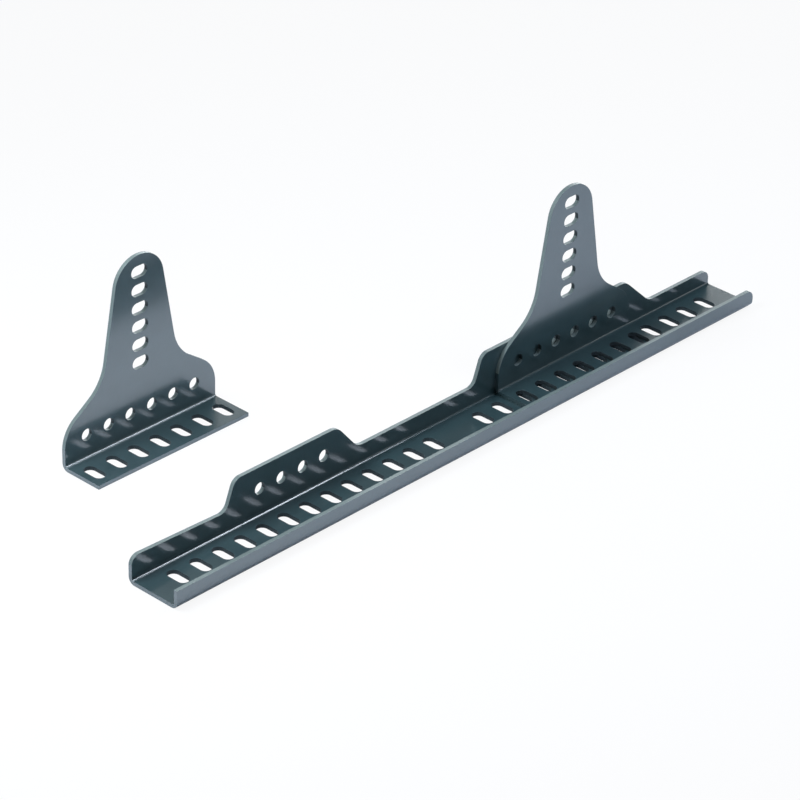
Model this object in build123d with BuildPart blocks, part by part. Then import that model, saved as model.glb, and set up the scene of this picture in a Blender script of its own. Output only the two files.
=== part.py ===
# Seat side mount, in folded steel sheet.
# A long base rail has rows of cross slots in its web and two ears on its back flange.
# A foot bracket stands in the rail against the far ear, and a second one just like it
# stands on its own behind the near end of the rail.
# Millimetres. X runs along the rail, Y from its front flange to its back flange, Z up.
# The origin is the middle of the rail's underside.

import os

from build123d import *

os.makedirs("parts", exist_ok=True)

# The sheet is the same on every piece. Its folds are pressed sharp on the inside, and
# the sheet is drawn a little thinner there, so that they come out rounder on the outside.
sheet = 3.0
fold_inside = 1.5
fold_outside = 5.3

# What all pieces share, so that their rows line up for one set of M8 bolts. Every slot
# is as wide as a bolt hole.
pitch = 20.0
bolt_hole = 9.0
slot_length = 18.0

# Rail: the folded channel, as long as its two groups of slots need.
slots_in_group = 13
group_gap = 50.0
end_margin = 25.0
group_reach = pitch * (slots_in_group - 1) / 2
group_centre = group_gap / 2 + group_reach
far_end = group_centre + group_reach + end_margin
near_end = -far_end
rail_width = 45.5
rail_back = rail_width / 2
rail_front = -rail_back
front_flange = 14.5
ear_height = 40.0
rail_hole_height = 23.5
slot_from_back = 20.0

# Rail: the low edges of the back flange, which step down towards the far end.
low_edge_near_end = 21.0
low_edge_near_ear = 18.1
low_edge_middle = 17.2
low_edge_far = 14.8
end_corner = 7.0

# Rail: the ears, each with its row of holes centred over a group of slots. Each has
# a steep side towards the near end and a slack side after it.
ear_holes = 4
ear_hole_reach = pitch * (ear_holes - 1) / 2
near_ear_lead = 22.6
near_ear_tail = 12.9
far_ear_lead = 73.1
far_ear_tail = 18.9
steep_run = 8.2
near_slack_run = 19.6
far_slack_run = 27.5
steep_round = 8.0
slack_round = 12.0
near_ear_start = -group_centre - ear_hole_reach - near_ear_lead
near_ear_end = -group_centre + ear_hole_reach + near_ear_tail
far_ear_start = group_centre - ear_hole_reach - far_ear_lead
far_ear_end = group_centre + ear_hole_reach + far_ear_tail

# Rail: each corner of its outline as seen from the front, with its round, from the near
# end to the far end: low edge, near ear, low edge, far ear, low edge.
rail_corners = [
    (near_end, low_edge_near_end, end_corner),
    (near_ear_start - steep_run, low_edge_near_ear, steep_round),
    (near_ear_start, ear_height, steep_round),
    (near_ear_end, ear_height, slack_round),
    (near_ear_end + near_slack_run, low_edge_middle, slack_round),
    (far_ear_start - steep_run, low_edge_middle, steep_round),
    (far_ear_start, ear_height, steep_round),
    (far_ear_end, ear_height, slack_round),
    (far_ear_end + far_slack_run, low_edge_far, slack_round),
    (far_end, low_edge_far, end_corner),
]

# Bracket: the foot plate that lies flat in the rail, and the upright folded up from it.
base_slots = 7
base_end_margin = 10.0
base_slot_from_back = 21.3
bracket_holes = 6
foot_clearance = 3.1
bracket_length = pitch * (base_slots - 1) + 2 * base_end_margin
bracket_side = bracket_length / 2
base_depth = rail_width - 2 * sheet - foot_clearance
bracket_height = 140.0

# Bracket: the outline of the upright, a broad foot whose shoulders slope in to a tongue.
shoulder_start = 28.3
shoulder_top = 53.5
tongue_foot_width = 67.8
tongue_side = tongue_foot_width / 2
head_radius = 22.2
shoulder_round = 26.0
tongue_round = 35.0

# Bracket: the ladder of slots up the tongue, which sets how high the seat is bolted.
ladder_slots = 6
ladder_pitch = 14.0
ladder_from_top = 12.7
ladder_slot_length = 14.6

# The fitted bracket's last holes lie over the far ear's, a little off true, as a bracket
# that isn't bolted down lies. The loose one stands this far behind the rail and from
# its near end.
fitted_play = 0.7
fitted_centre = group_centre - pitch * (bracket_holes - ear_holes) / 2 + fitted_play
loose_gap = 98.0
loose_from_near_end = 133.0

with BuildPart() as rail:
    # The channel, folded along its whole length.
    with BuildSketch(Plane.YZ) as channel:
        with BuildLine():
            Polyline(
                (rail_front, front_flange),
                (rail_front, 0),
                (rail_back, 0),
                (rail_back, ear_height),
                (rail_back - sheet, ear_height),
                (rail_back - sheet, sheet),
                (rail_front + sheet, sheet),
                (rail_front + sheet, front_flange),
                close=True,
            )
        make_face()
        folds = [
            (rail_front, 0, fold_outside),
            (rail_back, 0, fold_outside),
            (rail_back - sheet, sheet, fold_inside),
            (rail_front + sheet, sheet, fold_inside),
        ]
        for y, z, fold in folds:
            fillet(channel.vertices().sort_by_distance((y, z))[0], radius=fold)
    extrude(amount=far_end, both=True)
    # Its outline leaves the two ears standing above the low edges of the back flange.
    with BuildSketch(Plane.XZ) as rail_outline:
        with BuildLine():
            Polyline((near_end, 0), *[(x, z) for x, z, _ in rail_corners], (far_end, 0), close=True)
        make_face()
        for x, z, corner_round in rail_corners:
            fillet(rail_outline.vertices().sort_by_distance((x, z))[0], radius=corner_round)
    extrude(amount=rail_width / 2, both=True, mode=Mode.INTERSECT)
    # Two groups of slots run across the web.
    with BuildSketch():
        for side in (-1, 1):
            with Locations((side * group_centre, rail_back - slot_from_back)):
                with GridLocations(pitch, pitch, slots_in_group, 1):
                    SlotOverall(slot_length, bolt_hole, rotation=90)
    extrude(amount=sheet, mode=Mode.SUBTRACT)
    # Each ear has a row of round holes.
    with BuildSketch(Plane.XZ.offset(-rail_back)):
        for side in (-1, 1):
            with Locations((side * group_centre, rail_hole_height)):
                with GridLocations(pitch, pitch, ear_holes, 1):
                    Circle(bolt_hole / 2)
    extrude(amount=sheet, mode=Mode.SUBTRACT)
rail.part.label = "rail"
export_step(rail.part, "parts/rail.step")


# The two brackets are alike. Each is modelled with its back in the plane Y = 0 and its
# foot on Z = 0, and then set in its place.
with BuildPart() as bracket:
    # An angle, folded along its whole length.
    with BuildSketch(Plane.YZ) as angle:
        with BuildLine():
            Polyline(
                (-base_depth, 0),
                (0, 0),
                (0, bracket_height),
                (-sheet, bracket_height),
                (-sheet, sheet),
                (-base_depth, sheet),
                close=True,
            )
        make_face()
        fillet(angle.vertices().sort_by_distance((0, 0))[0], radius=fold_outside)
        fillet(angle.vertices().sort_by_distance((-sheet, sheet))[0], radius=fold_inside)
    extrude(amount=bracket_side, both=True)
    # The upright's outline: the tongue's sides run straight from its foot and touch its
    # round head, and its foot spreads out over the sloping shoulders.
    with BuildSketch(Plane.XZ) as bracket_outline:
        with Locations((0, bracket_height - head_radius)):
            Circle(head_radius)
        with BuildLine():
            Line((-tongue_side, shoulder_top), (tongue_side, shoulder_top))
        make_hull()
        with BuildLine():
            Polyline(
                (-bracket_side, 0),
                (-bracket_side, shoulder_start),
                (-tongue_side, shoulder_top),
                (tongue_side, shoulder_top),
                (bracket_side, shoulder_start),
                (bracket_side, 0),
                close=True,
            )
        make_face()
        for side in (-1, 1):
            armpit = bracket_outline.vertices().sort_by_distance((side * tongue_side, shoulder_top))[0]
            fillet(armpit, radius=tongue_round)
            shoulder = bracket_outline.vertices().sort_by_distance((side * bracket_side, shoulder_start))[0]
            fillet(shoulder, radius=shoulder_round)
    extrude(amount=base_depth, mode=Mode.INTERSECT)
    # Slots run across the foot plate.
    with BuildSketch():
        with Locations((0, -base_slot_from_back)):
            with GridLocations(pitch, pitch, base_slots, 1):
                SlotOverall(slot_length, bolt_hole, rotation=90)
    extrude(amount=sheet, mode=Mode.SUBTRACT)
    # A row of holes above the fold meets an ear's holes, with the ladder of slots above.
    with BuildSketch(Plane.XZ):
        with Locations((0, rail_hole_height - sheet)):
            with GridLocations(pitch, pitch, bracket_holes, 1):
                Circle(bolt_hole / 2)
        for rung in range(ladder_slots):
            with Locations((0, bracket_height - ladder_from_top - rung * ladder_pitch)):
                SlotOverall(ladder_slot_length, bolt_hole)
    extrude(amount=sheet, mode=Mode.SUBTRACT)

# One bracket lies in the rail, its back against the far ear and its foot on the web.
fitted_bracket = Pos(fitted_centre, rail_back - sheet, sheet) * bracket.part
fitted_bracket.label = "fitted_bracket"
export_step(fitted_bracket, "parts/fitted_bracket.step")

# The other stands on its own foot, behind the near end of the rail.
loose_bracket = Pos(near_end + loose_from_near_end, rail_back + loose_gap + base_depth, 0) * bracket.part
loose_bracket.label = "loose_bracket"
export_step(loose_bracket, "parts/loose_bracket.step")
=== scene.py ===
import bpy
import math
from mathutils import Matrix


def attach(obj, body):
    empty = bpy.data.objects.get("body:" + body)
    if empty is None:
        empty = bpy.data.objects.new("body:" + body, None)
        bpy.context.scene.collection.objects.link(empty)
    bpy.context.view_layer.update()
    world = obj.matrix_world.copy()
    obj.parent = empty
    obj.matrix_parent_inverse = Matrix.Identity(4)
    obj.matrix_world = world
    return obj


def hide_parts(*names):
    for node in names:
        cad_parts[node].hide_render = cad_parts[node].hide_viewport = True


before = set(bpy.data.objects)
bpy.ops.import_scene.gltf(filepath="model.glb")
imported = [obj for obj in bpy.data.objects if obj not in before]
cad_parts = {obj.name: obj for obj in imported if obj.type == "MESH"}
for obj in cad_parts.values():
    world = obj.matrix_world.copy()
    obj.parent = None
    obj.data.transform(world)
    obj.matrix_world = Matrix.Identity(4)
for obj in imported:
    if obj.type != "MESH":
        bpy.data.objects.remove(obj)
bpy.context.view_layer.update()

# The camera stands two and a half metres off in front of the rail's near end, 1.3 m above
# the table, and looks down along the rail through a long lens. It is rolled a little.
scene = bpy.context.scene
camera_place = (-1.62696, -1.45820, 1.29718)
camera_heading = math.radians(-47.007)
camera_tilt = math.radians(90 - 30.174)
camera_roll = math.radians(1.501)
camera_data = bpy.data.cameras.new("camera")
camera_data.sensor_width = 36.0
camera_data.lens = 165.66
camera_data.clip_end = 50.0
camera = bpy.data.objects.new("camera", camera_data)
scene.collection.objects.link(camera)
camera.matrix_world = (Matrix.Translation(camera_place)
                       @ Matrix.Rotation(camera_heading, 4, "Z")
                       @ Matrix.Rotation(camera_tilt, 4, "X")
                       @ Matrix.Rotation(camera_roll, 4, "Z"))
scene.camera = camera


# The whole mount is pressed from mild steel sheet and coated in one dark blue-green stoved
# enamel, with a hard clear gloss on its faces. Where its sheared edges and hole walls face up
# they are pale and dull, a painted highlight; its other hole walls are darker, painted shade.
def linear(code):
    parts = [int(code[i:i + 2], 16) / 255 for i in (1, 3, 5)]
    return [c / 12.92 if c <= 0.04045 else ((c + 0.055) / 1.055) ** 2.4 for c in parts] + [1.0]


def add_node(tree, kind, links=(), **settings):
    node = tree.nodes.new(kind)
    for name, value in settings.items():
        if hasattr(node, name):
            setattr(node, name, value)
        else:
            node.inputs[name.replace("_", " ")].default_value = value
    for source, target in links:
        tree.links.new(source, node.inputs[target])
    return node


def fresh_material(name):
    material = bpy.data.materials.new(name)
    material.use_nodes = True
    material.node_tree.nodes.clear()
    return material, material.node_tree


def enamel(name, deep, light, haze, gloss):
    material, tree = fresh_material(name)
    place = add_node(tree, "ShaderNodeTexCoord").outputs["Object"]
    # Slight clouding in the coat's depth of colour, each cloud about 26 mm across.
    clouds = add_node(tree, "ShaderNodeTexNoise", [(place, "Vector")],
                      Scale=38.0, Detail=3.0, Roughness=0.55)
    shade = add_node(tree, "ShaderNodeValToRGB", [(clouds.outputs["Fac"], "Fac")])
    for stop, position, colour in zip(shade.color_ramp.elements, (0.3, 0.7), (deep, light)):
        stop.position = position
        stop.color = linear(colour)
    # The cured film's fine orange peel, drawn about 2.4 mm from crest to crest, as coarse
    # as it needs to be to show.
    peel = add_node(tree, "ShaderNodeTexNoise", [(place, "Vector")],
                    Scale=420.0, Detail=2.0, Roughness=0.4)
    relief = add_node(tree, "ShaderNodeBump", [(peel.outputs["Fac"], "Height")],
                      Strength=0.12, Distance=0.0004)
    # Under the gloss the colour coat has a dim sheen of its own, a touch bluer than white.
    shader = add_node(tree, "ShaderNodeBsdfPrincipled",
                      [(shade.outputs["Color"], "Base Color"),
                       (relief.outputs["Normal"], "Normal")],
                      Roughness=haze, IOR=1.5, Specular_IOR_Level=0.5,
                      Specular_Tint=linear("#e4f8ff"),
                      Coat_Weight=gloss, Coat_Roughness=0.14, Coat_IOR=1.85)
    add_node(tree, "ShaderNodeOutputMaterial", [(shader.outputs["BSDF"], "Surface")])
    return material


faces_coat = enamel("dark_blue_green_stoved_enamel", "#293e44", "#2f454b",
                    haze=0.3, gloss=1.0)
# The pale colour on upward-facing sheared edges and hole walls is a painted highlight.
pale_edges_painted_highlight = enamel("pale_painted_highlight_on_sheared_edges", "#5d6c6e", "#677678",
                    haze=0.55, gloss=0.0)
# The dark colour on the walls of the punched holes is painted shade.
dark_holes_painted_shade = enamel("dark_painted_shade_in_punched_holes", "#1c262a", "#212c30",
                    haze=0.6, gloss=0.0)

# The base rail is a channel, folded from one sheet once its slots and holes are punched
# and its outline is cut. It stands flat on the table, and the brackets bolt to its ears.
sheet = 0.003
rail_back = 0.02275
rail_wall = rail_back - sheet / 2
coats = (faces_coat, pale_edges_painted_highlight, dark_holes_painted_shade)
same_point = 0.00001
same_plane = math.radians(0.5)
smooth_bend = math.radians(35)
sharp_corner = math.radians(50)
corner_round = 0.0004
# A sheared edge has its middle this near to the middle of its wall.
edge_slack = 0.0006
# A ray from the wall of a slot or hole meets the same piece again within this distance.
widest_hole = 0.02
# How far up an edge's normal, or a hole wall's, turns before it gets the pale painted
# highlight.
edge_highlight_turns_up = 0.1
hole_highlight_turns_up = 0.35


def coat_of(piece, face, wall_middles):
    on_wall = min(abs(face.center.y - middle) for middle in wall_middles) < edge_slack
    just_off = face.center + face.normal * same_point
    in_a_hole = piece.ray_cast(just_off, face.normal, distance=widest_hole)[0]
    # Edges and hole walls that face up get the pale painted highlight; other hole walls get
    # painted shade.
    if on_wall and face.normal.z > (hole_highlight_turns_up if in_a_hole else edge_highlight_turns_up):
        return pale_edges_painted_highlight
    return dark_holes_painted_shade if in_a_hole else faces_coat


# The folded solid is shown by a copy of itself whose cut edges and punched rims are
# rounded over, as shot-blasting and a thick coat leave them.
def coated_copy(name, wall_middles):
    bpy.ops.object.select_all(action="DESELECT")
    piece = bpy.data.objects.new(name + "_sheet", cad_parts[name].data.copy())
    scene.collection.objects.link(piece)
    piece.select_set(True)
    bpy.context.view_layer.objects.active = piece
    bpy.ops.object.mode_set(mode="EDIT")
    bpy.ops.mesh.select_all(action="SELECT")
    bpy.ops.mesh.remove_doubles(threshold=same_point)
    bpy.ops.mesh.dissolve_limited(angle_limit=same_plane)
    bpy.ops.object.mode_set(mode="OBJECT")
    bpy.ops.object.shade_smooth_by_angle(angle=smooth_bend)
    piece.data.materials.clear()
    for coat in coats:
        piece.data.materials.append(coat)
    # Each face gets the enamel, the pale painted highlight or the dark painted shade.
    for face in piece.data.polygons:
        face.material_index = coats.index(coat_of(piece, face, wall_middles))
    rounding = piece.modifiers.new("edge_rounding", "BEVEL")
    rounding.limit_method = "ANGLE"
    rounding.angle_limit = sharp_corner
    rounding.width = corner_round
    rounding.segments = 3
    bpy.ops.object.modifier_apply(modifier=rounding.name)
    # Flat faces keep their own normals right up to the folds and roundings beside them.
    shading = piece.modifiers.new("flat_stays_flat", "WEIGHTED_NORMAL")
    shading.weight = 100
    shading.keep_sharp = True
    bpy.ops.object.modifier_apply(modifier=shading.name)
    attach(piece, "root")
    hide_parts(name)


coated_copy("rail", (-rail_wall, rail_wall))

# The two foot brackets are the same folded pressing, and meet the rail's two ears. One is
# in its place in the rail, its back against the far ear. The other stands on its own foot
# on the table, behind the rail's near end.
fitted_wall = rail_wall - sheet
loose_back = 0.15715
loose_wall = loose_back - sheet / 2
coated_copy("fitted_bracket", (fitted_wall,))
coated_copy("loose_bracket", (loose_wall,))

# The mount stands on a wide table with a plain matt white laminate. The camera sees it
# almost evenly bright, with only a faint shadow, and the enamel mirrors it as it is lit.
table_width = 12.0
table_below_mount = 0.0002
shining_to_camera = 0.9
shining_in_mirrors = 0.02
plain_white = linear("#ffffff")
mirror_rays = ("Is Glossy Ray", "Is Transmission Ray")
bpy.ops.object.select_all(action="DESELECT")
bpy.ops.mesh.primitive_plane_add(size=table_width, location=(0, 0, -table_below_mount))
table_top = bpy.context.active_object
table_top.name = "table_top"
laminate, tree = fresh_material("white_table_laminate")
lit = add_node(tree, "ShaderNodeBsdfDiffuse", Color=linear("#dee6f2"))
bright = add_node(tree, "ShaderNodeEmission", Color=plain_white, Strength=1.0)
rays = add_node(tree, "ShaderNodeLightPath")
seen = add_node(tree, "ShaderNodeMath", [(rays.outputs["Is Camera Ray"], 0)],
                operation="MULTIPLY")
seen.inputs[1].default_value = shining_to_camera
mirrored = add_node(tree, "ShaderNodeMath",
                    [(rays.outputs[ray], socket) for socket, ray in enumerate(mirror_rays)],
                    operation="MAXIMUM")
glint = add_node(tree, "ShaderNodeMath", [(mirrored.outputs[0], 0)], operation="MULTIPLY")
glint.inputs[1].default_value = shining_in_mirrors
share = add_node(tree, "ShaderNodeMath", [(seen.outputs[0], 0), (glint.outputs[0], 1)],
                 operation="MAXIMUM")
mixed = add_node(tree, "ShaderNodeMixShader",
                 [(share.outputs[0], "Fac"), (lit.outputs[0], 1), (bright.outputs[0], 2)])
add_node(tree, "ShaderNodeOutputMaterial", [(mixed.outputs[0], "Surface")])
table_top.data.materials.append(laminate)

# The room round the table is white. What the enamel mirrors of it is bright only near the
# table's height: it fades between 13 and 20 degrees up, and the rest is dim.
room_light = 0.2
fade_starts = math.sin(math.radians(13))
fade_ends = math.sin(math.radians(20))
bright_wall = 1.0
dim_wall = 0.05
world = bpy.data.worlds.new("white_room")
scene.world = world
world.use_nodes = True
world.node_tree.nodes.clear()
tree = world.node_tree
soft = add_node(tree, "ShaderNodeBackground", Color=plain_white, Strength=room_light)
way = add_node(tree, "ShaderNodeTexCoord").outputs["Generated"]
height = add_node(tree, "ShaderNodeSeparateXYZ", [(way, "Vector")])
fade = add_node(tree, "ShaderNodeMapRange", [(height.outputs["Z"], "Value")],
                interpolation_type="SMOOTHSTEP", From_Min=fade_starts, From_Max=fade_ends,
                To_Min=bright_wall, To_Max=dim_wall)
room = add_node(tree, "ShaderNodeBackground", [(fade.outputs["Result"], "Strength")],
                Color=plain_white)
wall = add_node(tree, "ShaderNodeBackground", Color=plain_white, Strength=bright_wall)
rays = add_node(tree, "ShaderNodeLightPath")
mirrored = add_node(tree, "ShaderNodeMath",
                    [(rays.outputs[ray], socket) for socket, ray in enumerate(mirror_rays)],
                    operation="MAXIMUM")
reflect = add_node(tree, "ShaderNodeMixShader",
                   [(mirrored.outputs[0], "Fac"), (soft.outputs[0], 1), (room.outputs[0], 2)])
mixed = add_node(tree, "ShaderNodeMixShader",
                 [(rays.outputs["Is Camera Ray"], "Fac"),
                  (reflect.outputs[0], 1), (wall.outputs[0], 2)])
add_node(tree, "ShaderNodeOutputWorld", [(mixed.outputs[0], "Surface")])

# A wide low lamp lights the mount from behind, straight towards the camera, and a faint
# window stands over it. A small lamp hangs above the gap behind the rail's near end, and
# one to the front right draws a line in each fold. Each points at the middle of the rail.
for name, stands_at, size, power, colour in (
    ("back_lamp", (2.92, 2.73, 0.8), (4.0, 0.8), 140.0, "#ffffff"),
    ("near_lamp", (-0.42, 0.18, 0.6), (0.3, 0.3), 5.2, "#ffffff"),
    ("window", (1.09, 1.01, 1.4), (1.2, 0.4), 1.0, "#ffffff"),
    ("fold_lamp", (0.36, -0.28, 0.71), (0.36, 0.16), 3.2, "#ebf3ff"),
):
    lamp_data = bpy.data.lights.new(name, "AREA")
    lamp_data.shape = "RECTANGLE"
    lamp_data.size, lamp_data.size_y = size
    lamp_data.energy = power
    lamp_data.color = linear(colour)[:3]
    lamp = bpy.data.objects.new(name, lamp_data)
    scene.collection.objects.link(lamp)
    lamp.location = stands_at
    lamp.rotation_mode = "QUATERNION"
    lamp.rotation_quaternion = (-lamp.location).to_track_quat("-Z", "Y")
    lamp.visible_camera = False

scene.view_settings.view_transform = "Standard"
